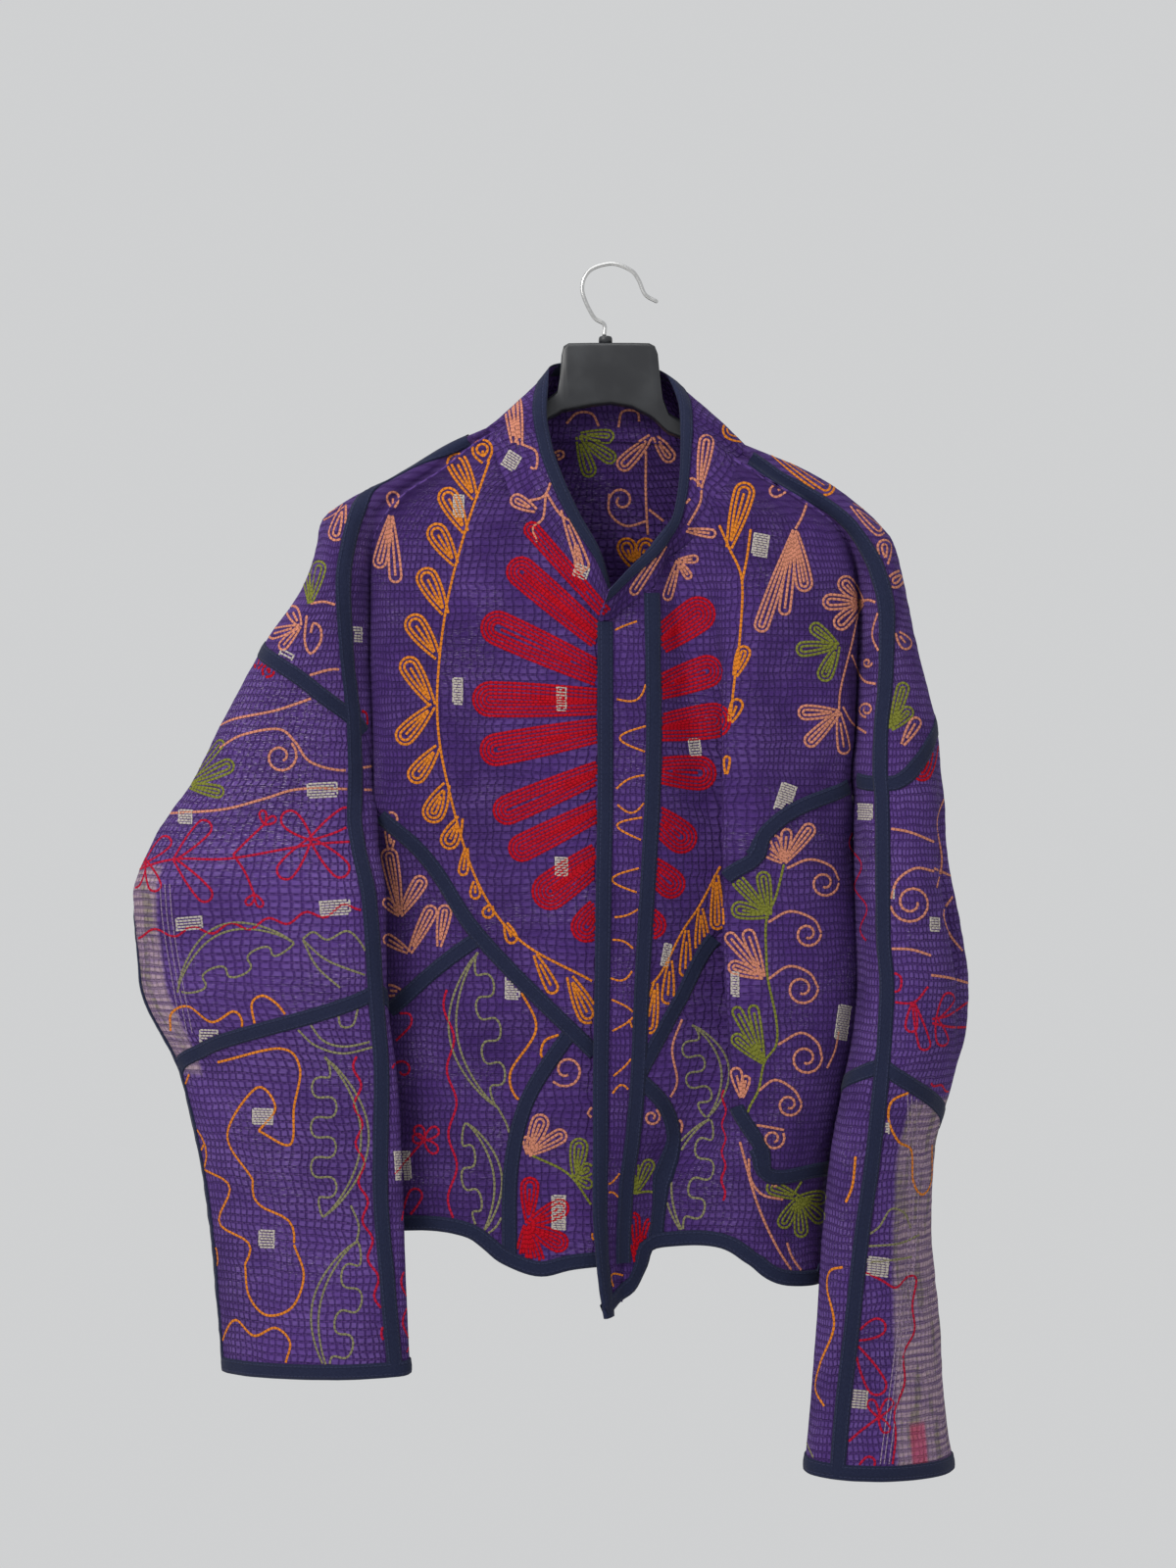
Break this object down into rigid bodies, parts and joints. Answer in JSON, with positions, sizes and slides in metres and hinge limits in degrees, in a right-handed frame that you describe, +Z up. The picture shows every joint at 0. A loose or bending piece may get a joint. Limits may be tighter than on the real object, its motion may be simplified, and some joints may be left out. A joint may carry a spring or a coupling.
{
  "type": "kantha jacket on hanger",
  "caption": "Violet kantha-quilted cotton jacket with a stand collar, dropped shoulders and navy seam strips, worn closed on a plastic hanger with a wire hook.",
  "frame": {"origin": "inside top of the hanger's hook, where it hangs", "axes": "+Z up, +Y towards the jacket's back, +X towards the viewer's right as one faces its front"},
  "size_m": [0.6034, 0.1239, 0.8738],
  "materials": {
    "violet_cotton": "matt kantha-stitched cotton",
    "navy_cotton": "matt woven cotton tape",
    "dark_plastic": "satin",
    "steel_wire": "bright drawn wire"
  },
  "bodies": {
    "root": {"back": "violet_cotton", "collar": "violet_cotton", "collar_binding": "navy_cotton", "front_left_corner": "violet_cotton", "front_left_lower": "violet_cotton", "front_left_side": "violet_cotton", "front_left_upper": "violet_cotton", "front_right_corner": "violet_cotton", "front_right_lower": "violet_cotton", "front_right_side": "violet_cotton", "front_right_upper": "violet_cotton", "hanger": "dark_plastic", "hanger_boss": "dark_plastic", "hem_back": "navy_cotton", "hem_left": "navy_cotton", "hem_right": "navy_cotton", "hook": "steel_wire", "left_cuff_binding": "navy_cotton", "left_sleeve_back_lower": "violet_cotton", "left_sleeve_back_upper": "violet_cotton", "left_sleeve_front_lower": "violet_cotton", "left_sleeve_front_upper": "violet_cotton", "left_strip_elbow_back": "navy_cotton", "left_strip_elbow_front": "navy_cotton", "left_strip_hole_back": "navy_cotton", "left_strip_top": "navy_cotton", "left_strip_under": "navy_cotton", "placket": "violet_cotton", "placket_binding": "navy_cotton", "right_cuff_binding": "navy_cotton", "right_sleeve_back_lower": "violet_cotton", "right_sleeve_back_upper": "violet_cotton", "right_sleeve_front_lower": "violet_cotton", "right_sleeve_front_upper": "violet_cotton", "right_strip_elbow_back": "navy_cotton", "right_strip_elbow_front": "navy_cotton", "right_strip_hole_back": "navy_cotton", "right_strip_hole_front": "navy_cotton", "right_strip_top": "navy_cotton", "right_strip_under": "navy_cotton", "strip_left_branch": "navy_cotton", "strip_left_corner": "navy_cotton", "strip_left_diagonal": "navy_cotton", "strip_placket": "navy_cotton", "strip_right_branch": "navy_cotton", "strip_right_corner": "navy_cotton", "strip_right_diagonal": "navy_cotton", "strip_right_diagonal_side": "navy_cotton"}
  },
  "joints": []
}
